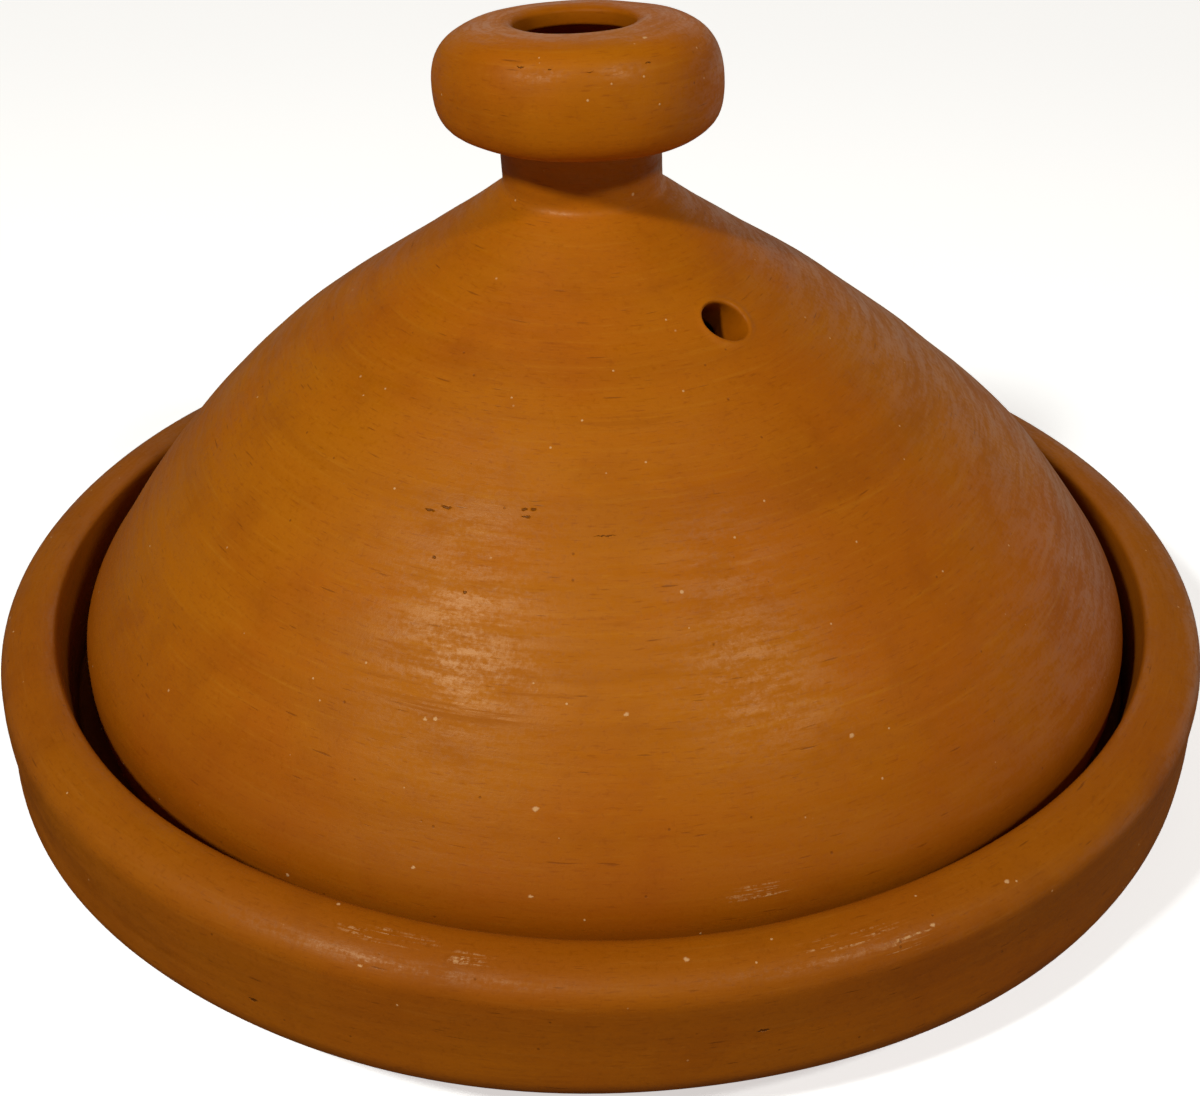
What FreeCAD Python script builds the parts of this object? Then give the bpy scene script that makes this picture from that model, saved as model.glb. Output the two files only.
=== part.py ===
import FreeCAD, Part
import math
import os

# Hand-thrown clay cooking pot: a shallow dish with a thick rounded rim, and a tall
# conical lid that rests on a ledge just inside the rim. Millimetres, +Z up.
# The origin is the centre of the dish's flat underside.

# Dish, outside: an upright wall above an underside that slopes in to a flat foot
foot_radius = 125.0
taper_top = (147.6, 11.3)
wall_bottom_z = 18.8
dish_radius = 152.5
dish_widest_z = 36.0
rim_crest_radius = 141.5
rim_crest_z = 45.8
rim_fullness = 0.68

# Dish, inside
lip_radius = 138.2
lip_z = 44.3
ledge_outer_radius = 135.5
ledge_inner_radius = 123.0
ledge_z = 24.0
ledge_rounding = 1.5
floor_z = 10.0
floor_flat_radius = 97.0

# Lid, outside: the flank runs from its widest circle up to the foot of the neck
lid_radius = 132.5
lid_widest_z = 39.2
lid_foot_outer_radius = 129.5
lid_foot_inner_radius = 127.0
lid_skirt_top_z = 35.0
flank_points = [
    (125.6, 54.0),
    (115.8, 68.0),
    (103.6, 82.0),
    (88.8, 96.0),
    (72.1, 110.0),
    (54.4, 123.0),
    (35.0, 136.0),
]
neck_foot_radius = 19.4
neck_foot_z = 147.2
neck_radius = 18.5
neck_bottom_z = 151.0
neck_top_z = 160.3

# Knob: a thrown bun, hollow under its open lip and closed underneath
knob_radius = 32.7
knob_widest_z = 171.6
knob_underside_z = 162.3
knob_lower_fullness = 0.82
knob_upper_fullness = 0.70
knob_crest_radius = 17.0
knob_crest_z = 186.3
cup_mouth_radius = 13.6
cup_mouth_z = 184.8
cup_lip_underside_z = 182.0
cup_belly_radius = 22.5
cup_belly_z = 173.5
cup_bottom_z = 161.5

# Lid, inside
lid_wall = 7.0
dome_top_z = 143.5

# Steam vent, a round hole poked through the flank below the knob
vent_radius = 5.0
vent_centre_z = 128.5
vent_bearing = math.radians(-48.0)
vent_axis_bearing = math.radians(-33.0)
vent_axis_rise = math.radians(35.0)
vent_bore_length = 40.0

# How far a quarter turn's handles reach when the corner is a quarter of an ellipse
ELLIPSE = 0.5523


def vector(radius, z):
    """A point or a direction in the plane of the turning outline."""
    return FreeCAD.Vector(radius, 0, z)


def line(start, end):
    return Part.makeLine(vector(*start), vector(*end))


def curve(points, start_tangent=None, end_tangent=None):
    """A smooth curve through the points, with both end directions when they are given."""
    spline = Part.BSplineCurve()
    poles = [vector(*point) for point in points]
    if start_tangent is None:
        spline.interpolate(poles)
    else:
        spline.interpolate(
            Points=poles,
            InitialTangent=vector(*start_tangent),
            FinalTangent=vector(*end_tangent),
        )
    return spline.toShape()


def rounded_quarter(side, end, fullness=ELLIPSE):
    """A rounded corner that is upright at side and level at end; a greater fullness is squarer."""
    side_handle = (side[0], side[1] + (end[1] - side[1]) * fullness)
    end_handle = (end[0] + (side[0] - end[0]) * fullness, end[1])
    corner = Part.BezierCurve()
    corner.setPoles([vector(*point) for point in (side, side_handle, end_handle, end)])
    return corner.toShape()


def turned(edges):
    """The solid swept by one closed outline round the pot's axis."""
    outline = Part.Wire(Part.__sortEdges__(edges))
    face = Part.Face(outline)
    solid = face.revolve(FreeCAD.Vector(0, 0, 0), FreeCAD.Vector(0, 0, 1), 360)
    return Part.Solid(solid.Shells[0])


def make_dish():
    centre_bottom = (0.0, 0.0)
    foot = (foot_radius, 0.0)
    taper_way = (taper_top[0] - foot_radius, taper_top[1])
    wall_bottom = (dish_radius, wall_bottom_z)
    widest = (dish_radius, dish_widest_z)
    crest = (rim_crest_radius, rim_crest_z)
    lip = (lip_radius, lip_z)
    ledge_back = (ledge_outer_radius, ledge_z)
    ledge_front = (ledge_inner_radius + ledge_rounding, ledge_z)
    bowl_top = (ledge_inner_radius, ledge_z - ledge_rounding)
    bowl_bottom = (floor_flat_radius, floor_z)
    centre_floor = (0.0, floor_z)
    outline = [
        line(centre_bottom, foot),
        line(foot, taper_top),
        curve([taper_top, wall_bottom], taper_way, (0.0, 1.0)),
        line(wall_bottom, widest),
        rounded_quarter(widest, crest, rim_fullness),
        rounded_quarter(lip, crest),
        line(lip, ledge_back),
        line(ledge_back, ledge_front),
        rounded_quarter(bowl_top, ledge_front),
        rounded_quarter(bowl_top, bowl_bottom),
        line(bowl_bottom, centre_floor),
        line(centre_floor, centre_bottom),
    ]
    return turned(outline)


def flank_outline():
    """Points up the outer flank, from the widest circle to the foot of the neck."""
    widest = (lid_radius, lid_widest_z)
    neck_foot = (neck_foot_radius, neck_foot_z)
    return [widest] + flank_points + [neck_foot]


def inner_flank_outline():
    """The outer flank points, each moved inward by the wall thickness square to the slope."""
    outer = flank_outline()
    inner = []
    for below, here, above in zip(outer, outer[1:], outer[2:]):
        run = above[0] - below[0]
        rise = above[1] - below[1]
        length = math.hypot(run, rise)
        inward = lid_wall * rise / length
        downward = lid_wall * run / length
        inner.append((here[0] - inward, here[1] + downward))
    return inner


def make_lid():
    foot_outer = (lid_foot_outer_radius, ledge_z)
    foot_inner = (lid_foot_inner_radius, ledge_z)
    widest = (lid_radius, lid_widest_z)
    inside_foot = (lid_radius - lid_wall, lid_skirt_top_z)
    neck_foot = (neck_foot_radius, neck_foot_z)
    neck_bottom = (neck_radius, neck_bottom_z)
    neck_top = (neck_radius, neck_top_z)
    underside = (neck_radius + knob_underside_z - neck_top_z, knob_underside_z)
    knob_side = (knob_radius, knob_widest_z)
    crest = (knob_crest_radius, knob_crest_z)
    mouth = (cup_mouth_radius, cup_mouth_z)
    lip_underside = (cup_mouth_radius, cup_lip_underside_z)
    belly = (cup_belly_radius, cup_belly_z)
    cup_bottom = (0.0, cup_bottom_z)
    dome_top = (0.0, dome_top_z)
    flank_end = (neck_foot[0] - flank_points[-1][0], neck_foot[1] - flank_points[-1][1])
    outline = [
        line(foot_inner, foot_outer),
        rounded_quarter(widest, foot_outer),
        curve(flank_outline(), (0.0, 1.0), flank_end),
        curve([neck_foot, neck_bottom], flank_end, (0.0, 1.0)),
        line(neck_bottom, neck_top),
        curve([neck_top, underside], (0.0, 1.0), (1.0, 0.0)),
        rounded_quarter(knob_side, underside, knob_lower_fullness),
        rounded_quarter(knob_side, crest, knob_upper_fullness),
        rounded_quarter(mouth, crest),
        line(mouth, lip_underside),
        curve([lip_underside, belly], (1.0, -0.3), (0.0, -1.0)),
        rounded_quarter(belly, cup_bottom),
        line(cup_bottom, dome_top),
        curve([dome_top] + inner_flank_outline()[::-1] + [inside_foot], (1.0, 0.0), (0.0, -1.0)),
        rounded_quarter(inside_foot, foot_inner),
    ]
    return turned(outline).cut(vent_bore()).Solids[0]


def flank_radius_at(z):
    """Outer radius of the lid at a height, read off the flank curve."""
    flank = curve(flank_outline()).Curve
    level = Part.Line(vector(0.0, z), vector(lid_radius, z))
    crossing = flank.intersect(level)[0]
    return crossing.X


def vent_bore():
    """The vent's cutting cylinder, centred on the flank's outer surface."""
    radius = flank_radius_at(vent_centre_z)
    centre = FreeCAD.Vector(
        radius * math.cos(vent_bearing),
        radius * math.sin(vent_bearing),
        vent_centre_z,
    )
    axis = FreeCAD.Vector(
        math.cos(vent_axis_rise) * math.cos(vent_axis_bearing),
        math.cos(vent_axis_rise) * math.sin(vent_axis_bearing),
        math.sin(vent_axis_rise),
    )
    start = centre - axis * (0.5 * vent_bore_length)
    return Part.makeCylinder(vent_radius, vent_bore_length, start, axis)


os.makedirs("parts", exist_ok=True)
for name, shape in {"base_dish": make_dish(), "conical_lid": make_lid()}.items():
    shape.exportStep("parts/" + name + ".step")
    print(name, shape.ShapeType, len(shape.Solids), shape.isValid(), round(shape.Volume))
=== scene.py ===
import math

import bpy
import numpy as np
from mathutils import Matrix, Vector


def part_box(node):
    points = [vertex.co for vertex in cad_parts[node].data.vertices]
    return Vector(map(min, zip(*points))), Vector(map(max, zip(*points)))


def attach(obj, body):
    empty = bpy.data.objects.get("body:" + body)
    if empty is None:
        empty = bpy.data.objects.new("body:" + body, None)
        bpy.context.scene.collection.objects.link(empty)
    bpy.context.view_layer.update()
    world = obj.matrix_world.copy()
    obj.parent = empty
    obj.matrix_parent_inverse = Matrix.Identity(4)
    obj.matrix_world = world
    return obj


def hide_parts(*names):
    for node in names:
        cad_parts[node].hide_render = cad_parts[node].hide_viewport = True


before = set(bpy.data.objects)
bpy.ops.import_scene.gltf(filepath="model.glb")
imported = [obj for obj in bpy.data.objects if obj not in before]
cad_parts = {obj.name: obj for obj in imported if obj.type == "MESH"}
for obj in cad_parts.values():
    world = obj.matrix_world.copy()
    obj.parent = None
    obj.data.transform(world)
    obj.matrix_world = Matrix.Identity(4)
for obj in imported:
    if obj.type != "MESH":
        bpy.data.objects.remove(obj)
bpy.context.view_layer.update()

MM = 0.001

# The driving sizes, from the boxes of the dish and the lid.
dish_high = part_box("base_dish")[1]
lid_low, lid_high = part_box("conical_lid")
DISH_RADIUS = dish_high.x
RIM_TOP = dish_high.z
LID_RADIUS = lid_high.x
LEDGE = lid_low.z
KNOB_TOP = lid_high.z


# ---------------------------------------------------------------- outlines

# How far a quarter turn's handles reach when the corner is a quarter of an ellipse.
ELLIPSE = 0.5523


def line(start, end, step=0.5 * MM):
    """Points along a straight stretch of an outline."""
    length = math.dist(start, end)
    share = np.linspace(0.0, 1.0, max(2, int(length / step)))[:, None]
    return np.array(start) + share * (np.array(end) - np.array(start))


def quarter(side, end, fullness=ELLIPSE, from_side=True):
    """A rounded corner, upright at side and level at end; a greater fullness is squarer."""
    t = np.linspace(0.0, 1.0, 40)
    near = (1 - t) ** 3 + 3 * t * (1 - t) ** 2
    across = near + fullness * 3 * t * t * (1 - t)
    up = t**3 + 3 * t * t * (1 - t) + fullness * 3 * t * (1 - t) ** 2
    radius = end[0] + (side[0] - end[0]) * across
    height = side[1] + (end[1] - side[1]) * up
    points = np.column_stack([radius, height])
    return points if from_side else points[::-1]


def smooth(points, start_way, end_way, count=200):
    """A clamped cubic spline through the points, leaving and arriving in the given directions."""
    points = np.array(points, float)
    knots = np.r_[0.0, np.cumsum(np.hypot(*np.diff(points, axis=0).T))]
    size = len(points)
    matrix = np.zeros((size, size))
    right = np.zeros((size, 2))
    matrix[0, 0] = matrix[-1, -1] = 1.0
    right[0] = np.array(start_way) / np.hypot(*start_way)
    right[-1] = np.array(end_way) / np.hypot(*end_way)
    for i in range(1, size - 1):
        before, after = knots[i] - knots[i - 1], knots[i + 1] - knots[i]
        matrix[i, i - 1 : i + 2] = after, 2.0 * (before + after), before
        slope_before = (points[i] - points[i - 1]) / before
        slope_after = (points[i + 1] - points[i]) / after
        right[i] = 3.0 * (after * slope_before + before * slope_after)
    slopes = np.linalg.solve(matrix, right)
    at = np.linspace(0.0, knots[-1], count)
    k = np.clip(np.searchsorted(knots, at, "right") - 1, 0, size - 2)
    span = (knots[k + 1] - knots[k])[:, None]
    t = (at[:, None] - knots[k][:, None]) / span
    return (
        (1 + 2 * t) * (1 - t) ** 2 * points[k]
        + t * (1 - t) ** 2 * span * slopes[k]
        + t * t * (3 - 2 * t) * points[k + 1]
        + t * t * (t - 1) * span * slopes[k + 1]
    )


class Outline:
    """A turned outline from axis to axis, in even rows, with the way out and how unburnished it
    is.
    Each stretch is its points, the spacing of its rows, and how unburnished it is at both ends: 0
    is burnished and 1 is left as it came off the wheel. The same share darkens the colour, partly
    as the clay's own unburnished tone, partly as painted shade in the hollows, the vent, the gap
    at the ledge and underneath."""

    def __init__(self, stretches):
        rows, raw_and_shade = [], []
        for points, spacing, raw_and_shade_ends in stretches:
            along = np.r_[0.0, np.cumsum(np.hypot(*np.diff(points, axis=0).T))]
            count = max(2, int(round(along[-1] / spacing)) + 1)
            at = np.linspace(0.0, along[-1], count)
            even = np.column_stack([np.interp(at, along, points[:, i]) for i in (0, 1)])
            first = 0 if not rows else 1
            rows.append(even[first:])
            raw_and_shade.append(np.linspace(raw_and_shade_ends[0], raw_and_shade_ends[1], count)[first:])
        self.points = np.vstack(rows)
        self.raw_and_shade = np.concatenate(raw_and_shade)
        self.points[0, 0] = self.points[-1, 0] = 0.0
        self.along = np.r_[0.0, np.cumsum(np.hypot(*np.diff(self.points, axis=0).T))]
        slope = np.gradient(self.points, self.along, axis=0)
        slope /= np.hypot(*slope.T)[:, None]
        self.out = np.column_stack([slope[:, 1], -slope[:, 0]])

    def at(self, along):
        """Radius, height and outward direction at places along the outline."""
        return [np.interp(along, self.along, v) for v in (*self.points.T, *self.out.T)]


# ---------------------------------------------------------------- uneven clay

class Ripple:
    """Smooth unevenness: seeded waves, closed round the pot and free along the outline.
    turns and lengths give the waves' least and most: whole waves round the pot, and mm along the
    outline. height is in mm."""

    def __init__(self, seed, count, turns, lengths, height):
        draw = np.random.default_rng(seed)
        height = height * MM
        self.turns = draw.integers(turns[0], turns[1] + 1, count)
        shortest, longest = (math.log(length * MM) for length in lengths)
        length = np.exp(draw.uniform(shortest, longest, count))
        self.rate = 2 * math.pi / length * draw.choice([-1.0, 1.0], count)
        self.start = draw.uniform(0, 2 * math.pi, count)
        self.height = height * math.sqrt(2.0 / count)

    def __call__(self, angle, along):
        total = np.zeros(np.broadcast(angle, along).shape)
        for turns, rate, start in zip(self.turns, self.rate, self.start):
            total += np.cos(turns * angle + rate * along + start)
        return total * self.height


def ease(low, high, value):
    """0 below low, 1 above high, smooth between."""
    t = np.clip((value - low) / (high - low), 0.0, 1.0)
    return t * t * (3 - 2 * t)


class Turned:
    """A thrown clay body: its outline swept round the axis, with its unevenness and lean."""

    def __init__(self, outline, relief, sway):
        self.outline = outline
        self.relief = relief
        self.sway = sway

    def place(self, angle, along):
        radius, height, out_r, out_z = self.outline.at(along)
        lift = self.relief(angle, along, radius, height)
        radius = radius + out_r * lift
        height = height + out_z * lift
        return self.sway(radius * np.cos(angle), radius * np.sin(angle), height)

    def grid(self, count):
        angle = np.linspace(0, 2 * math.pi, count, endpoint=False)
        along = self.outline.along[1:-1]
        spots = self.place(angle[None, :], along[:, None])
        return angle, along, np.stack(spots, axis=-1)


# ---------------------------------------------------------------- meshes

# How many columns of faces go round each piece, and how unburnished the vent's wall is at its
# outer end;
# the darkening this gives grows inwards and is partly painted shade in the vent.
COLUMNS = 240
BORE_RAW_AND_SHADE = 0.4


class Builder:
    """Collects vertices, with their place along the outline, their share of unburnished tone and
    painted shade, and faces.
    """

    def __init__(self):
        self.spots, self.along, self.raw_and_shade, self.faces = [], [], [], []

    def add(self, spots, along, raw_and_shade):
        first = len(self.spots)
        spots = np.asarray(spots, float).reshape(-1, 3)
        self.spots.extend(map(tuple, spots))
        self.along.extend(np.broadcast_to(along, len(spots)))
        self.raw_and_shade.extend(np.broadcast_to(raw_and_shade, len(spots)))
        return list(range(first, first + len(spots)))

    def bridge(self, ring, other):
        """Quads between two closed rings of the same count."""
        for i in range(len(ring)):
            j = (i + 1) % len(ring)
            self.faces.append((ring[i], ring[j], other[j], other[i]))

    def piece(self, name):
        """The finished object. Its two attributes tell its material where on the pot a point is,
        and how much unburnished tone and painted shade it gets.
        """
        mesh = bpy.data.meshes.new(name)
        mesh.from_pydata(self.spots, [], self.faces)
        for label, values in (("turn", self.along), ("raw_and_shade", self.raw_and_shade)):
            layer = mesh.attributes.new(label, "FLOAT", "POINT")
            layer.data.foreach_set("value", np.array(values, np.float32))
        mesh.polygons.foreach_set("use_smooth", [True] * len(mesh.polygons))
        mesh.update()
        piece = bpy.data.objects.new(name, mesh)
        bpy.context.scene.collection.objects.link(piece)
        return piece


def sweep(body, count, holes=()):
    """The body's whole skin. A hole is an open block of cells: first row, last row, columns."""
    outline = body.outline
    angle, along, spots = body.grid(count)
    build = Builder()
    raw_and_shade = outline.raw_and_shade[1:-1]
    rings = [build.add(spots[i], along[i], raw_and_shade[i]) for i in range(len(along))]
    open_cells = set()
    for low, high, columns in holes:
        open_cells.update((i, j % count) for i in range(low, high) for j in columns)
    for i in range(len(rings) - 1):
        for j in range(count):
            if (i, j) in open_cells:
                continue
            k = (j + 1) % count
            build.faces.append((rings[i][j], rings[i][k], rings[i + 1][k], rings[i + 1][j]))
    for ring, end, flip in ((rings[0], 0, True), (rings[-1], -1, False)):
        tip_along = outline.along[end]
        tip = build.add(body.place(0.0, tip_along), tip_along, outline.raw_and_shade[end])[0]
        for j in range(count):
            k = (j + 1) % count
            face = (tip, ring[k], ring[j]) if flip else (tip, ring[j], ring[k])
            build.faces.append(face)
    return build, rings, angle, along


def block_edge(rings, angle, along, low, high, columns):
    """The closed loop round a block of cells: vertices, angles, places along the outline."""
    first, last = columns[0], columns[-1] + 1
    count = len(angle)
    walk = [(low, j) for j in range(first, last)]
    walk += [(i, last) for i in range(low, high)]
    walk += [(high, j) for j in range(last, first, -1)]
    walk += [(i, first) for i in range(high, low, -1)]
    numbers = [rings[i][j % count] for i, j in walk]
    angles = np.array([angle[0] + 2 * math.pi * j / count for _, j in walk])
    places = np.array([along[i] for i, _ in walk])
    return numbers, angles, places


def turn_between(start, end):
    """The angle from start to end, the short way round."""
    return np.angle(np.exp(1j * (end - start)))


def axis_distance(spots, point, axis):
    """How far points are from a line."""
    away = spots - point
    return np.linalg.norm(away - (away @ axis)[:, None] * axis, axis=1)


def crossing(body, angle, along, point, axis):
    """The angle and the place along the outline where a line passes through the skin."""
    best = np.array([angle, along])
    reach = np.array([0.2, 12 * MM])
    steps = [(i, j) for i in (-1, 0, 1) for j in (-1, 0, 1)]
    for _ in range(60):
        tries = best + np.array(steps) * reach
        spots = np.stack(body.place(tries[:, 0], tries[:, 1]), axis=-1)
        nearest = axis_distance(spots, point, axis).argmin()
        if steps[nearest] == (0, 0):
            reach = reach * 0.6
        best = tries[nearest]
    return best


class Bore:
    """A round hole through the clay, with a rolled lip at each end."""

    def __init__(self, body, point, axis, radius):
        self.body, self.point, self.axis, self.radius = body, point, axis, radius
        side = np.cross(axis, (0.0, 0.0, 1.0))
        self.side = side / np.linalg.norm(side)
        self.top = np.cross(self.side, axis)

    def bearing(self, spots):
        """The angle of points round the bore's axis."""
        away = spots - self.point
        return np.arctan2(away @ self.top, away @ self.side)

    def edge_share(self, centre, angles, places, radius):
        """How far from centre to each loop point the skin is radius away from the axis."""
        low, high = np.zeros(len(angles)), np.ones(len(angles))
        for _ in range(30):
            middle = (low + high) / 2
            spots = self.on_skin(centre, angles, places, middle)
            beyond = axis_distance(spots, self.point, self.axis) > radius
            high = np.where(beyond, middle, high)
            low = np.where(beyond, low, middle)
        return high

    def on_skin(self, centre, angles, places, share):
        a = centre[0] + share * (angles - centre[0])
        s = centre[1] + share * (places - centre[1])
        return np.stack(self.body.place(a, s), axis=-1)

    def funnel(self, build, loop, centre, raw_and_shade, outward, roll, rings=7, bends=4):
        """Rings from a square loop in the skin, round the rolled edge, to the bore's wall."""
        numbers, angles, places = loop
        share = self.edge_share(centre, angles, places, self.radius + roll)
        made = [numbers]
        for k in range(1, rings + 1):
            t = share + (1 - share) * (1 - k / rings) ** 1.4
            spots = self.on_skin(centre, angles, places, t)
            made.append(build.add(spots, centre[1] + t * (places - centre[1]), raw_and_shade[0]))
        rim = self.on_skin(centre, angles, places, share)
        away = rim - self.point
        out = away - (away @ self.axis)[:, None] * self.axis
        out /= np.linalg.norm(out, axis=1)[:, None]
        for k in range(1, bends + 1):
            bend = math.pi / 2 * k / bends
            inward = roll * math.sin(bend)
            depth = roll * (1 - math.cos(bend))
            spots = rim - out * inward - self.axis * depth * outward
            made.append(build.add(spots, centre[1], raw_and_shade[0] + (raw_and_shade[1] - raw_and_shade[0]) * k / bends))
        return made

    def drill(self, build, outer, inner, outer_centre, inner_centre, roll, steps=9):
        """Joins the outer and inner skins by the bore's wall."""
        down = self.funnel(build, outer, outer_centre, (0.0, BORE_RAW_AND_SHADE), 1.0, roll)
        up = self.funnel(build, inner, inner_centre, (BORE_RAW_AND_SHADE, 2 * BORE_RAW_AND_SHADE), -1.0, roll)
        for chain in (down, up):
            for ring, following in zip(chain, chain[1:]):
                build.bridge(ring, following)
        top = np.array([build.spots[i] for i in down[-1]])
        low = np.array([build.spots[i] for i in up[-1]])[::-1]
        shift = self.best_shift(top, low)
        low = np.roll(low, shift, axis=0)
        last = list(np.roll(up[-1][::-1], shift))
        rings = [down[-1]]
        for k in range(1, steps):
            raw_and_shade = BORE_RAW_AND_SHADE + BORE_RAW_AND_SHADE * k / steps
            rings.append(build.add(top + (low - top) * k / steps, outer_centre[1], raw_and_shade))
        rings.append([int(i) for i in last])
        for ring, following in zip(rings, rings[1:]):
            build.bridge(ring, following)

    def best_shift(self, top, low):
        """How to turn the lower ring so that its points sit under the upper ring's."""
        wanted, have = self.bearing(top), self.bearing(low)
        gaps = [np.abs(turn_between(wanted, np.roll(have, k))).sum() for k in range(len(top))]
        return int(np.argmin(gaps))


# The flank's points, as shares of the widest radius and of the rise to the neck's foot.
FLANK_SHAPE = (
    (0.948, 0.137),
    (0.874, 0.267),
    (0.782, 0.396),
    (0.670, 0.526),
    (0.544, 0.656),
    (0.4105, 0.776),
    (0.264, 0.896),
)


def lid_outline():
    """From the dome's inside top, down the hollow, round the foot, up the flank, over the knob and
    down to the bottom of its cup."""
    wall = 7.0 * MM
    widest_z = LEDGE + 15.2 * MM
    neck_foot = (19.4 * MM, LEDGE + 123.2 * MM)
    neck_radius = 18.5 * MM
    neck_low, neck_high = LEDGE + 127.0 * MM, LEDGE + 136.3 * MM
    rise = neck_foot[1] - widest_z
    widest = (LID_RADIUS, widest_z)
    flank = [widest]
    flank += [(LID_RADIUS * r, widest_z + rise * z) for r, z in FLANK_SHAPE] + [neck_foot]
    inner = []
    for below, here, above in zip(flank, flank[1:], flank[2:]):
        run, climb = above[0] - below[0], above[1] - below[1]
        length = math.hypot(run, climb)
        inner.append((here[0] - wall * climb / length, here[1] + wall * run / length))
    end_way = (neck_foot[0] - flank[-2][0], neck_foot[1] - flank[-2][1])
    inside_foot = (LID_RADIUS - wall, LEDGE + 11.0 * MM)
    foot_in, foot_out = (127.0 * MM, LEDGE), (129.5 * MM, LEDGE)
    dome_top = (0.0, LEDGE + 119.5 * MM)
    underside = (neck_radius + 2.0 * MM, neck_high + 2.0 * MM)
    knob_side = (32.7 * MM, KNOB_TOP - 14.7 * MM)
    crest = (17.0 * MM, KNOB_TOP)
    mouth = (13.6 * MM, KNOB_TOP - 1.5 * MM)
    lip_underside = (13.6 * MM, KNOB_TOP - 4.3 * MM)
    belly = (22.5 * MM, KNOB_TOP - 12.8 * MM)
    cup_bottom = (0.0, KNOB_TOP - 24.8 * MM)
    fine, coarse, tight = 0.98 * MM, 1.65 * MM, 0.5 * MM
    hollow = smooth([dome_top] + inner[::-1] + [inside_foot], (1, 0), (0, -1))
    return Outline([
        (hollow, coarse, (0.4, 0.6)),
        (quarter(inside_foot, foot_in), fine, (0.6, 0.6)),
        (line(foot_in, foot_out), fine, (0.6, 0.5)),
        (quarter(widest, foot_out, from_side=False), fine, (0.5, 0.0)),
        (smooth(flank, (0, 1), end_way), fine, (0.0, 0.0)),
        (smooth([neck_foot, (neck_radius, neck_low)], end_way, (0, 1), 40), fine, (0.0, 0.0)),
        (line((neck_radius, neck_low), (neck_radius, neck_high)), fine, (0.0, 0.0)),
        (smooth([(neck_radius, neck_high), underside], (0, 1), (1, 0), 30), tight, (0.0, 0.0)),
        (quarter(knob_side, underside, 0.82, from_side=False), fine, (0.0, 0.0)),
        (quarter(knob_side, crest, 0.70), fine, (0.0, 0.0)),
        (quarter(mouth, crest, from_side=False), tight, (0.0, 0.4)),
        (line(mouth, lip_underside), tight, (0.2, 0.6)),
        (smooth([lip_underside, belly], (1, -0.3), (0, -1), 40), fine, (0.6, 0.6)),
        (quarter(belly, cup_bottom), coarse, (0.6, 0.8)),
    ])


def dish_outline():
    """From the centre of the underside, up the outer wall, over the rim and in to the floor."""
    foot = (125.0 * MM, 0.0)
    taper_top = (147.6 * MM, 11.3 * MM)
    way = (taper_top[0] - foot[0], taper_top[1])
    worn = 2.5 * MM
    share = worn / math.hypot(*way)
    foot_flat = (foot[0] - worn, 0.0)
    foot_round = (foot[0] + way[0] * share, way[1] * share)
    wall_radius = DISH_RADIUS - 0.4 * MM
    wall_bottom = (wall_radius, 18.8 * MM)
    widest = (wall_radius, RIM_TOP - 7.4 * MM)
    crest = (DISH_RADIUS - 11.0 * MM, RIM_TOP - 0.2 * MM)
    lip = (DISH_RADIUS - 14.3 * MM, RIM_TOP - 1.5 * MM)
    ledge_back = (135.5 * MM, LEDGE)
    ledge_front = (124.5 * MM, LEDGE)
    bowl_top = (123.0 * MM, LEDGE - 1.5 * MM)
    bowl_bottom = (97.0 * MM, 10.0 * MM)
    fine, coarse = 0.9 * MM, 2.0 * MM
    return Outline([
        (line((0.0, 0.0), foot_flat), 3.0 * MM, (1.0, 1.0)),
        (smooth([foot_flat, foot_round], (1, 0), way, 20), fine, (1.0, 0.9)),
        (line(foot_round, taper_top), 1.2 * MM, (0.9, 0.4)),
        (smooth([taper_top, wall_bottom], way, (0, 1), 40), fine, (0.4, 0.0)),
        (line(wall_bottom, widest), fine, (0.0, 0.0)),
        (quarter(widest, crest, 0.62), fine, (0.0, 0.0)),
        (quarter(lip, crest, from_side=False), 0.6 * MM, (0.0, 0.1)),
        (line(lip, ledge_back), fine, (0.1, 0.5)),
        (line(ledge_back, ledge_front), fine, (0.5, 0.6)),
        (quarter(bowl_top, ledge_front, from_side=False), 0.5 * MM, (0.6, 0.4)),
        (quarter(bowl_top, bowl_bottom), 1.2 * MM, (0.4, 0.2)),
        (line(bowl_bottom, (0.0, bowl_bottom[1])), coarse, (0.2, 0.2)),
    ])


def side_place(outline, height):
    """The place along an outline where its outer side, from foot to top, has a height."""
    heights = outline.points[:, 1]
    last = heights.argmax()
    first = len(heights) - 1 - heights[::-1].argmin()
    climb = np.maximum.accumulate(heights[first : last + 1])
    return float(np.interp(height, climb, outline.along[first : last + 1]))


def hollow_place(outline, height):
    """The place along the lid's outline where the skin of its hollow has a height."""
    hollow = outline.points[: outline.points[:, 1].argmin(), 1]
    return float(outline.along[np.abs(hollow - height).argmin()])


# ---------------------------------------------------------------- the lid

# The vent was poked from the right, a little downwards into the dome.
VENT_BEARING = math.radians(-48.0)
VENT_HEIGHT = LEDGE + 104.5 * MM
VENT_RADIUS = 5.0 * MM
VENT_ROLL = 0.8 * MM
VENT_RISE, VENT_TURN = math.radians(35.0), math.radians(-33.0)

# The cone's lean, and the soft bulges of its faint S: depth, height and reach, in mm.
LEAN = 0.0392
BULGES = ((0.7, 55, 12), (1.15, 74, 11), (-0.95, 106, 14))

# How steeply the knob's top rises towards +X and +Y.
KNOB_TIP = (0.035, -0.080)


def hump(value, middle, reach):
    """1 at middle, and smoothly down to 0 beyond reach."""
    return np.exp(-(((value - middle) / reach) ** 2))


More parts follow.
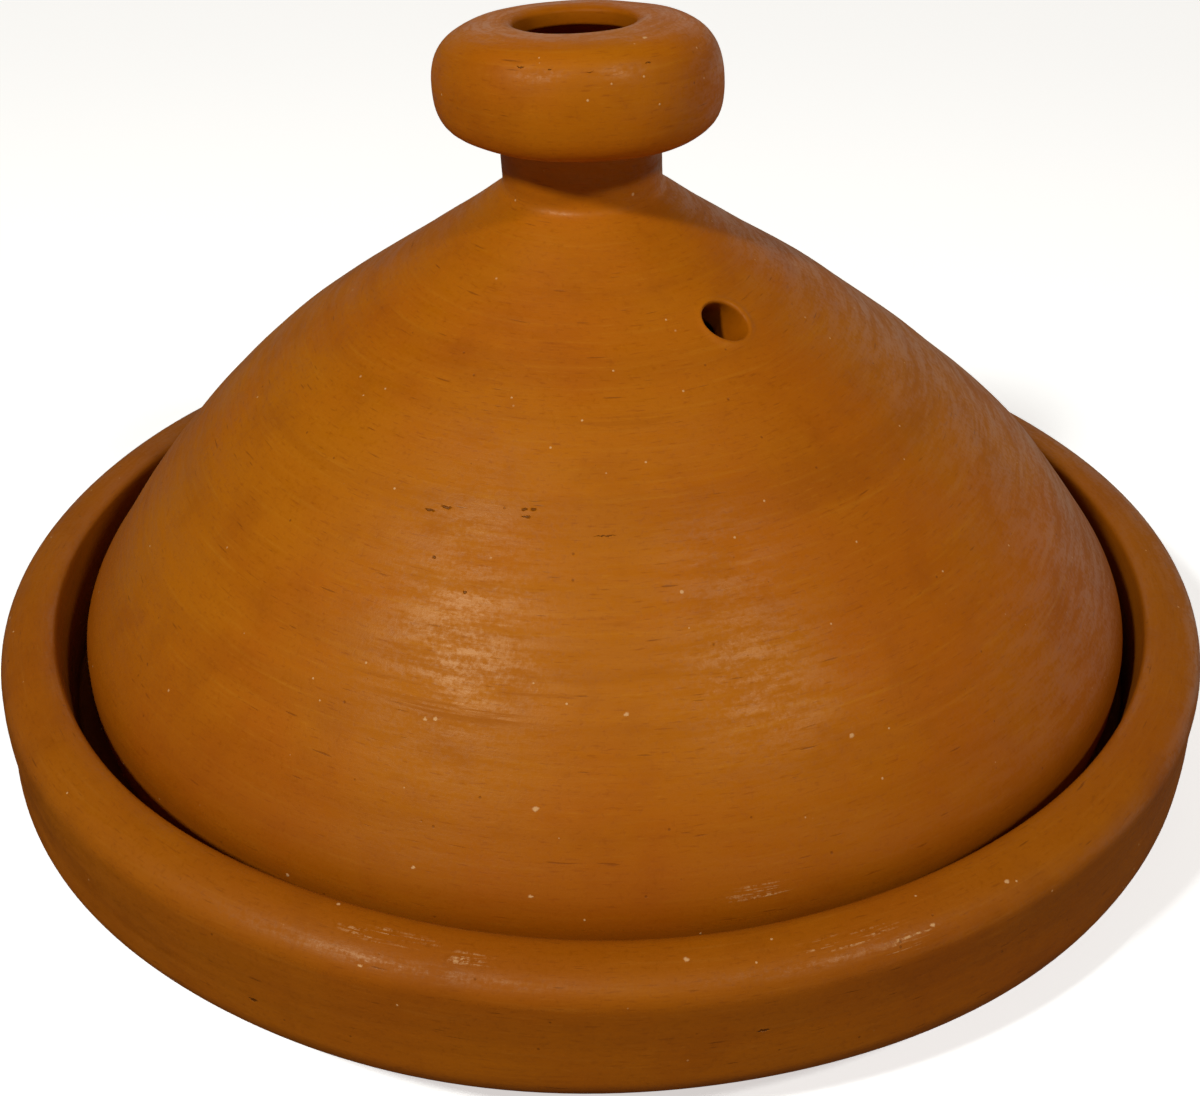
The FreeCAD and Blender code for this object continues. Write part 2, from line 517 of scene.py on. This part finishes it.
def make_lid():
    outline = lid_outline()
    vent_place = side_place(outline, VENT_HEIGHT)
    foot_place = outline.along[outline.points[:, 1].argmin()]
    finger = Ripple(seed=11, count=14, turns=(0, 1), lengths=(9, 16), height=0.42)
    rings = Ripple(seed=12, count=26, turns=(0, 2), lengths=(3, 7), height=0.005)
    swell = Ripple(seed=13, count=16, turns=(0, 3), lengths=(14, 60), height=0.04)
    dents = Ripple(seed=14, count=24, turns=(2, 9), lengths=(25, 90), height=0.07)

    def relief(angle, along, radius, height):
        """Finger grooves inside, rings and swelling outside; level at the foot and on the axis."""
        inside = 1 - ease(foot_place - 12 * MM, foot_place, along)
        seated = ease(0.5 * MM, 9 * MM, height - LEDGE)
        centred = ease(2 * MM, 22 * MM, radius)
        raised = finger(angle, along) * inside + rings(angle, along)
        raised = raised + swell(angle, along) * (1 - inside)
        raised = (raised + dents(angle, along)) * seated * centred
        from_vent = np.hypot(turn_between(VENT_BEARING, angle) * radius, along - vent_place)
        burr = hump(from_vent, VENT_RADIUS + 0.9 * MM, 0.9 * MM) * 0.28 * MM
        return raised + burr

    def sway(x, y, height):
        """The cone leans to -X in a faint S. The knob's top tips up at the right and in front."""
        upper = ease(KNOB_TOP - 24 * MM, KNOB_TOP - 2 * MM, height)
        raised = height + (KNOB_TIP[0] * x + KNOB_TIP[1] * y - 0.4 * MM) * upper
        bulge = sum(out * MM * hump(height, at * MM, reach * MM) for out, at, reach in BULGES)
        x = x + 1.1 * MM - LEAN * np.maximum(height - 40 * MM, 0.0) + bulge
        return x, y, raised

    body = Turned(outline, relief, sway)
    point = np.array(body.place(VENT_BEARING, vent_place), float).reshape(3)
    flat = math.cos(VENT_RISE)
    axis = np.array([flat * math.cos(VENT_TURN), flat * math.sin(VENT_TURN), math.sin(VENT_RISE)])
    start = hollow_place(outline, VENT_HEIGHT - 6 * MM)
    inner_centre = crossing(body, VENT_BEARING, start, point, axis)

    def pushed_in(angle, along, radius, height):
        """The clay that the poking stick pushed ahead of it stands round the bore's inner end."""
        aside = turn_between(inner_centre[0], angle) * radius
        off = np.hypot(aside, along - inner_centre[1])
        return relief(angle, along, radius, height) + 3.2 * MM * hump(off, 0.0, 9 * MM)

    body = Turned(outline, pushed_in, sway)
    step = 2 * math.pi / COLUMNS
    rows = outline.along[1:-1]

    def block(centre, half_rows, half_columns):
        """The block of cells round a place on the skin."""
        row = int(round(np.interp(centre[1], rows, np.arange(len(rows)))))
        column = int(round(centre[0] / step))
        columns = list(range(column - half_columns, column + half_columns))
        return row - half_rows, row + half_rows, columns

    outer_block = block((VENT_BEARING, vent_place), 10, 8)
    inner_block = block(inner_centre, 7, 11)
    holes = [outer_block, inner_block]
    build, made, angle, along = sweep(body, COLUMNS, holes)
    bore = Bore(body, point, axis, VENT_RADIUS)
    outer = block_edge(made, angle, along, *outer_block)
    inner = block_edge(made, angle, along, *inner_block)
    bore.drill(build, outer, inner, (VENT_BEARING, vent_place), inner_centre, VENT_ROLL)
    piece = build.piece("clay_lid")
    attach(piece, "lid")
    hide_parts("conical_lid")
    return piece, outline


# ---------------------------------------------------------------- the dish

def make_dish():
    outline = dish_outline()
    grooves = Ripple(seed=21, count=12, turns=(0, 1), lengths=(8, 15), height=0.3)
    rings = Ripple(seed=22, count=26, turns=(0, 2), lengths=(3, 7), height=0.008)
    swell = Ripple(seed=23, count=16, turns=(0, 3), lengths=(15, 50), height=0.12)
    dents = Ripple(seed=24, count=24, turns=(2, 8), lengths=(25, 90), height=0.2)
    crest_place = outline.along[outline.points[:, 1].argmax()]
    foot_place = side_place(outline, 0.0)

    def relief(angle, along, radius, height):
        """Grooves in the bowl, a hollowed underside that never sags, and a level ledge."""
        under = 1 - ease(foot_place - 1 * MM, foot_place + 12 * MM, along)
        bowl = ease(crest_place + 30 * MM, crest_place + 45 * MM, along)
        near_ledge = hump(height, LEDGE, 3 * MM) * (radius > 120 * MM) * (radius < 136 * MM)
        centred = ease(2 * MM, 22 * MM, radius)
        raised = grooves(angle, along) * bowl + rings(angle, along)
        raised = (raised + (swell(angle, along) + dents(angle, along)) * (1 - under)) * centred
        hollowed = -0.5 * MM * under * (1 - ease(90 * MM, 126 * MM, radius))
        raised = np.where(under > 0.5, -np.abs(raised), raised)
        return raised * (1 - near_ledge) + hollowed

    body = Turned(outline, relief, lambda x, y, height: (x, y, height))
    build, _, _, _ = sweep(body, COLUMNS)
    piece = build.piece("clay_dish")
    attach(piece, "dish")
    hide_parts("base_dish")
    return piece, outline


# ---------------------------------------------------------------- marks in the clay

# Each mark: bearing in degrees (-90 is the front, 0 the right), height, length and width in mm.
LID_GOUGES = [
    (-116, 103.7, 2.6, 0.6),
    (-113.6, 104.6, 2.8, 0.7),
    (-101.4, 105.8, 1.5, 0.8),
    (-100.0, 105.9, 1.4, 0.9),
    (-101.0, 104.8, 2.2, 0.6),
    (-89.1, 102.4, 5.0, 0.2),
    (-112.9, 97.3, 0.9, 0.7),
    (-107.4, 93.2, 0.9, 0.6),
    (-119.7, 182.2, 1.8, 0.28),
    (-107.8, 181.8, 0.8, 0.35),
    (-92.2, 181.2, 1.4, 0.2),
    (-66.8, 181.6, 1.6, 0.35),
]
LID_CRUMBS = [
    (-96.2, 61.7, 1.7, 1.0),
    (-63.6, 67.8, 1.3, 1.1),
    (-108.7, 73.5, 1.1, 0.7),
    (-107.6, 73.9, 1.1, 0.7),
    (-87.2, 76.9, 1.2, 0.9),
    (-107.2, 49.2, 1.2, 0.6),
    (-96.2, 47.2, 1.3, 0.6),
    (-61.2, 185.4, 1.6, 1.1),
]
LID_SCUFFS = [(-75.5, 46, 18, 4)]
LID_RUBS = [
    (-113, 77.5, 34, 5),
    (-105, 75.5, 40, 5),
    (-96, 79, 26, 3),
    (-90, 90, 16, 4),
    (-84, 118, 26, 5),
    (-100, 128, 18, 4),
]
DISH_GOUGES = [(-78, 30, 3.0, 0.7), (-118, 24, 2.4, 0.8)]
DISH_CRUMBS = [
    (-55.9, 44.4, 1.4, 0.9),
    (-63.8, 43.6, 1.4, 0.9),
    (-108.3, 42.4, 1.2, 0.7),
    (-83.5, 45.2, 1.4, 1.0),
]
DISH_SCUFFS = [
    (-107, 45.4, 24, 4),
    (-100, 45.0, 12, 4),
    (-71, 44.6, 30, 4),
    (-66, 42.5, 14, 5),
]
DISH_RUBS = [(-95, 20, 40, 6), (-45, 28, 30, 5)]

LID_MARKS = (LID_GOUGES, LID_CRUMBS, LID_SCUFFS, LID_RUBS)
DISH_MARKS = (DISH_GOUGES, DISH_CRUMBS, DISH_SCUFFS, DISH_RUBS)


# ---------------------------------------------------------------- materials

# The clay's warm, red, pale and deep tones, and the lime in it.
LID_TONES = (
    (0.42, 0.127, 0.0006),
    (0.40, 0.103, 0.0006),
    (0.50, 0.19, 0.010),
    (0.23, 0.046, 0.0006),
)
DISH_TONES = (
    (0.34, 0.098, 0.0010),
    (0.31, 0.080, 0.0010),
    (0.40, 0.14, 0.012),
    (0.18, 0.040, 0.0008),
)
LIME = (0.66, 0.40, 0.19)


def node(tree, kind, inputs=None, **settings):
    """A shader node with its settings and inputs; an input is a value or another node's output."""
    made = tree.nodes.new(kind)
    for name, value in settings.items():
        setattr(made, name, value)
    for name, value in (inputs or {}).items():
        if isinstance(value, bpy.types.NodeSocket):
            tree.links.new(value, made.inputs[name])
        else:
            made.inputs[name].default_value = value
    return made


def maths(tree, operation, first, second=0.0):
    return node(tree, "ShaderNodeMath", {0: first, 1: second}, operation=operation).outputs[0]


def weighed(tree, value, weight, onto):
    """onto with weight times value added."""
    return maths(tree, "ADD", onto, maths(tree, "MULTIPLY", value, weight))


def ramp(tree, value, low, high, start=0.0, end=1.0):
    """value carried from low..high to start..end, eased and clamped."""
    made = node(tree, "ShaderNodeMapRange", {"Value": value, "From Min": low, "From Max": high,
                                             "To Min": start, "To Max": end})
    made.interpolation_type = "SMOOTHSTEP"
    return made.outputs["Result"]


def mix(tree, share, first, second):
    """A share of the second colour over the first; each is a tuple or another node's output."""
    made = node(tree, "ShaderNodeMix", data_type="RGBA")
    for socket, value in ((0, share), (6, first), (7, second)):
        if isinstance(value, bpy.types.NodeSocket):
            tree.links.new(value, made.inputs[socket])
        else:
            made.inputs[socket].default_value = value if socket == 0 else (*value, 1.0)
    return made.outputs[2]


def noise(tree, vector, scale, detail, roughness, seed):
    """Seeded cloudy noise; detail is its number of octaves."""
    made = node(tree, "ShaderNodeTexNoise", {"Vector": vector, "W": seed, "Scale": scale,
                                             "Detail": detail, "Roughness": roughness},
                noise_dimensions="4D")
    return made.outputs["Fac"]


def spots(tree, plane, outline, items):
    """How much of any listed mark covers a point."""
    cover = None
    for bearing, height, length, width in items:
        place = side_place(outline, height * MM)
        around = outline.at(place)[0] / (0.5 * length * MM)
        along = 1.0 / (0.5 * width * MM)
        middle = (-math.radians(bearing) * around, -place * along, 0.0)
        away = node(tree, "ShaderNodeVectorMath", {0: plane, 1: (around, along, 0.0), 2: middle},
                    operation="MULTIPLY_ADD").outputs[0]
        far = node(tree, "ShaderNodeVectorMath", {0: away}, operation="LENGTH").outputs["Value"]
        near = ramp(tree, far, 0.45, 1.1, 1.0, 0.0)
        cover = near if cover is None else maths(tree, "MAXIMUM", cover, near)
    return cover


def shades(tone, share):
    """A darker version of a tone."""
    return [c * share for c in tone]


def clay(name, tones, darker_below, seed, outline, marks):
    """Burnished terracotta: mottled colour, streaks from the wheel, pores, grit and lime specks.
    The heights given after the tones, in mm, are where the colour fades from redder and darker
    below to plain above.
    marks are the listed gouges, crumbs, scuffs and rubs."""
    warm, red, pale, deep = tones
    low, high = darker_below
    material = bpy.data.materials.new(name)
    material.use_nodes = True
    tree = material.node_tree
    tree.nodes.clear()
    place = node(tree, "ShaderNodeTexCoord").outputs["Object"]
    apart = node(tree, "ShaderNodeSeparateXYZ", {0: place})
    turn = node(tree, "ShaderNodeAttribute", attribute_name="turn").outputs["Fac"]
    raw_and_shade = node(tree, "ShaderNodeAttribute", attribute_name="raw_and_shade").outputs["Fac"]

    def flecks(scale, size, share, shift):
        """A few small flecks: one in each cell, and only a share of the cells keep theirs."""
        moved = node(tree, "ShaderNodeVectorMath", {0: place, 1: (shift, shift, shift)},
                     operation="ADD")
        cells = node(tree, "ShaderNodeTexVoronoi", {"Vector": moved.outputs[0], "Scale": scale})
        number = node(tree, "ShaderNodeSeparateColor", {0: cells.outputs["Color"]}).outputs[0]
        kept = maths(tree, "GREATER_THAN", number, 1.0 - share)
        spot = ramp(tree, cells.outputs["Distance"], size * 0.5, size, 1.0, 0.0)
        return maths(tree, "MULTIPLY", spot, kept)

    def mottle(scale, detail, roughness, number):
        """Noise that is alike in all directions; scale counts its features per metre."""
        return noise(tree, place, scale, detail, roughness, seed + number)

    def drag(around, along, detail, roughness, number):
        """Noise drawn out round the pot by the turning; around and along count its features per
        metre round the pot and along the outline."""
        x = maths(tree, "MULTIPLY", apart.outputs["X"], around)
        y = maths(tree, "MULTIPLY", apart.outputs["Y"], around)
        s = maths(tree, "MULTIPLY", turn, along)
        vector = node(tree, "ShaderNodeCombineXYZ", {0: x, 1: y, 2: s}).outputs[0]
        return noise(tree, vector, 1.0, detail, roughness, seed + number)

    # Mottling of the clay body, from broad to fine
    cloud = mottle(16.0, 4.0, 0.6, 0)
    patches = mottle(60.0, 3.0, 0.6, 1)
    grain = mottle(900.0, 4.0, 0.65, 5)
    wobble = mottle(1100.0, 2.0, 0.5, 8)

    # Streaks left by the turning, from broad to fine
    bands = drag(5.0, 110.0, 3.0, 0.55, 2)
    streaks = drag(30.0, 700.0, 4.0, 0.62, 3)
    burnish = drag(60.0, 330.0, 5.0, 0.72, 7)
    hairs = drag(90.0, 1800.0, 2.0, 0.5, 4)
    dashes = drag(130.0, 1500.0, 1.0, 0.4, 6)
    strokes = drag(280.0, 2400.0, 2.0, 0.5, 9)

    # Listed marks, with edges broken up by the grain
    bearing = maths(tree, "ARCTAN2", apart.outputs["Y"], apart.outputs["X"])
    shifted = weighed(tree, maths(tree, "SUBTRACT", wobble, 0.5), 1.2 * MM, turn)
    plane = node(tree, "ShaderNodeCombineXYZ", {0: bearing, 1: shifted}).outputs[0]
    gouge_dirt_and_shade, crumb, scuff, worn = (spots(tree, plane, outline, items) for items in marks)
    worn = maths(tree, "MULTIPLY", worn, ramp(tree, streaks, 0.46, 0.58))
    scuff = maths(tree, "MULTIPLY", scuff, ramp(tree, hairs, 0.50, 0.66))
    scuff = maths(tree, "MULTIPLY", scuff, ramp(tree, grain, 0.42, 0.60))
    dark_dash = ramp(tree, dashes, 0.70, 0.78, 0.0, 0.50)
    lime = maths(tree, "MAXIMUM", flecks(230.0, 0.12, 0.025, 0.37),
                 flecks(600.0, 0.20, 0.013, 0.71))
    lime = maths(tree, "MAXIMUM", lime, crumb)
    grit = flecks(420.0, 0.16, 0.04, 0.11)

    # Colour: each layer lies over the ones before it
    colour = mix(tree, ramp(tree, cloud, 0.38, 0.66), warm, red)
    for share, tone in (
        (ramp(tree, bands, 0.45, 0.75, 0.0, 0.35), red),
        (ramp(tree, bands, 0.52, 0.36, 0.0, 0.16), deep),
        (ramp(tree, streaks, 0.52, 0.78, 0.0, 0.34), pale),
        (ramp(tree, patches, 0.30, 0.52, 0.20, 0.0), deep),
        (ramp(tree, grain, 0.27, 0.48, 0.28, 0.0), deep),
        (ramp(tree, strokes, 0.58, 0.74, 0.0, 0.42), deep),
        (ramp(tree, strokes, 0.40, 0.26, 0.0, 0.22), pale),
        (maths(tree, "MULTIPLY", worn, 0.24), deep),
        (dark_dash, shades(deep, 0.5)),
        # Redder and darker towards the bottom
        (ramp(tree, apart.outputs["Z"], low * MM, high * MM, 0.60, 0.0), deep),
        # Darker where unburnished: partly the clay's own unburnished tone, partly painted shade
        # deepening into the knob's cup, the vent, the gap at the ledge and the underside
        (maths(tree, "MULTIPLY", raw_and_shade, 0.85), shades(deep, 0.6)),
        (maths(tree, "MULTIPLY", lime, 0.8), LIME),
        (maths(tree, "MULTIPLY", scuff, 0.7), LIME),
        (maths(tree, "MULTIPLY", grit, 0.5), shades(deep, 0.5)),
        # Gouges darkened: partly dirt in them, partly painted shade in the pits
        (maths(tree, "MULTIPLY", gouge_dirt_and_shade, 0.70), shades(deep, 0.30)),
    ):
        colour = mix(tree, share, colour, tone)

    # Sheen: dull where the burnishing missed, inside, and on the specks
    dull = ramp(tree, weighed(tree, grain, 0.6, burnish), 0.66, 0.94)
    dull = maths(tree, "MAXIMUM", dull, worn)
    rough = 0.385
    for value, weight in ((dull, 0.22), (raw_and_shade, 0.25), (lime, 0.2)):
        rough = weighed(tree, value, weight, rough)
    shine = weighed(tree, dull, -0.18, 0.40)
    shine = maths(tree, "MULTIPLY", shine, ramp(tree, raw_and_shade, 0.1, 0.5, 1.0, 0.1))

    # Relief: weights in units of the bump's distance
    height = 0.0
    for value, weight in (
        (streaks, 0.35),
        (hairs, 0.22),
        (grain, 0.80),
        (patches, 0.9),
        (dark_dash, -0.6),
        (grit, -0.7),
        (gouge_dirt_and_shade, -4.0),
        (lime, 0.6),
        (scuff, 0.6),
    ):
        height = weighed(tree, value, weight, height)
    bump = node(tree, "ShaderNodeBump", {"Height": height, "Strength": 0.9, "Distance": 0.07 * MM})
    shader = node(tree, "ShaderNodeBsdfPrincipled", {
        "Base Color": colour,
        "Roughness": rough,
        "IOR": 1.45,
        "Specular IOR Level": shine,
        "Specular Tint": (1.0, 0.84, 0.56, 1.0),
        "Normal": bump.outputs[0],
    })
    node(tree, "ShaderNodeOutputMaterial", {0: shader.outputs[0]})
    return material


# How much the floor glows beside the pot, and out of the lamps' reach.
FLOOR_GLOW, FAR_GLOW = 0.60, 1.0


def pale_floor():
    """A near-white studio floor that still takes the pot's soft shadow."""
    material = bpy.data.materials.new("pale_floor")
    material.use_nodes = True
    tree = material.node_tree
    tree.nodes.clear()
    matt = node(tree, "ShaderNodeBsdfDiffuse", {"Color": (0.84, 0.90, 0.98, 1.0)})
    place = node(tree, "ShaderNodeNewGeometry").outputs["Position"]
    away = node(tree, "ShaderNodeVectorMath", {0: place}, operation="LENGTH").outputs["Value"]
    level = ramp(tree, away, 0.5, 2.5, FLOOR_GLOW, FAR_GLOW)
    glow = node(tree, "ShaderNodeEmission", {"Color": (1.0, 0.99, 0.98, 1.0), "Strength": level})
    both = node(tree, "ShaderNodeAddShader", {0: matt.outputs[0], 1: glow.outputs[0]})
    node(tree, "ShaderNodeOutputMaterial", {0: both.outputs[0]})
    return material


# ---------------------------------------------------------------- studio

def make_floor():
    """A plain square, far larger than the view, that lights and mirrors nothing into the clay."""
    mesh = bpy.data.meshes.new("floor")
    half = 20.0
    corners = [(-half, -half, 0), (half, -half, 0), (half, half, 0), (-half, half, 0)]
    mesh.from_pydata(corners, [], [(0, 1, 2, 3)])
    floor = bpy.data.objects.new("floor", mesh)
    bpy.context.scene.collection.objects.link(floor)
    floor.data.materials.append(pale_floor())
    floor.visible_diffuse = False
    floor.visible_glossy = False


def make_light(name, bearing, height, distance, size, power, colour):
    """A square softbox aimed at the middle of the pot, placed by bearing (0 is the front, 90 the
    right) and height angle in degrees, and distance in metres."""
    data = bpy.data.lights.new(name, "AREA")
    data.size = size
    data.energy = power
    data.color = colour
    light = bpy.data.objects.new(name, data)
    turn, rise = math.radians(bearing), math.radians(height)
    level = math.cos(rise)
    way = Vector((math.sin(turn) * level, -math.cos(turn) * level, math.sin(rise)))
    light.location = Vector((0, 0, 0.09)) + way * distance
    light.rotation_mode = "QUATERNION"
    light.rotation_quaternion = way.to_track_quat("Z", "Y")
    bpy.context.scene.collection.objects.link(light)


def make_world(seen, cast, mirrored):
    """A white surround to look at. The pot is lit by a dimmer one, stronger from below as off a
    bright table, and mirrors a pale horizon that is brighter on the right."""
    world = bpy.data.worlds.new("studio")
    world.use_nodes = True
    tree = world.node_tree
    tree.nodes.clear()

    def background(colour, strength=1.0):
        sheet = node(tree, "ShaderNodeBackground", {"Color": (*colour, 1.0), "Strength": strength})
        return sheet.outputs[0]

    def choose(share, first, second):
        return node(tree, "ShaderNodeMixShader", {0: share, 1: first, 2: second}).outputs[0]

    path = node(tree, "ShaderNodeLightPath").outputs
    view = node(tree, "ShaderNodeTexCoord").outputs["Generated"]
    way = node(tree, "ShaderNodeSeparateXYZ", {0: view}).outputs
    horizon = ramp(tree, maths(tree, "ABSOLUTE", way["Z"]), 0.15, 0.55, 1.0, 0.06)
    horizon = maths(tree, "MULTIPLY", horizon, ramp(tree, way["X"], -1.0, 1.0, 0.25, 1.9))
    bounce = ramp(tree, way["Z"], -0.35, 0.35, 2.5, 0.60)
    lit = choose(path["Is Glossy Ray"], background(cast, bounce), background(mirrored, horizon))
    both = choose(path["Is Camera Ray"], lit, background(seen))
    node(tree, "ShaderNodeOutputWorld", {0: both})
    bpy.context.scene.world = world


def make_camera():
    """Looks down on the front at 32 degrees, from a little over three dish radii away."""
    data = bpy.data.cameras.new("camera")
    data.lens = 53.63
    data.sensor_width = 36.0
    data.clip_start = 0.01
    camera = bpy.data.objects.new("camera", data)
    camera.location = (0.0016 * DISH_RADIUS, -2.586 * DISH_RADIUS, 1.950 * DISH_RADIUS)
    pitch, roll = math.radians(32.31), math.radians(-0.38)
    tilt = Matrix.Rotation(math.pi / 2 - pitch, 4, "X")
    camera.rotation_euler = (tilt @ Matrix.Rotation(roll, 4, "Z")).to_euler()
    bpy.context.scene.collection.objects.link(camera)
    bpy.context.scene.camera = camera


lid, lid_shape = make_lid()
dish, dish_shape = make_dish()
lid.data.materials.append(clay("lid_clay", LID_TONES, (36, 72), 1.0, lid_shape, LID_MARKS))
dish.data.materials.append(clay("dish_clay", DISH_TONES, (0, 16), 9.0, dish_shape, DISH_MARKS))
make_floor()
make_world(seen=(0.96, 0.96, 0.96), cast=(0.14, 0.10, 0.06), mirrored=(0.32, 0.29, 0.25))
for name, bearing, rise, distance, size, power, colour in (
    ("key_left", -40, 44.5, 1.3, 0.11, 10.5, (1.0, 0.97, 0.86)),
    ("key_right", 42, 44.5, 1.3, 0.11, 5.0, (1.0, 0.94, 0.84)),
    ("behind", 180, 25, 1.6, 1.0, 1.4, (1.0, 0.96, 0.9)),
):
    make_light(name, bearing, rise, distance, size, power, colour)
make_camera()
bpy.context.scene.view_settings.view_transform = "Standard"
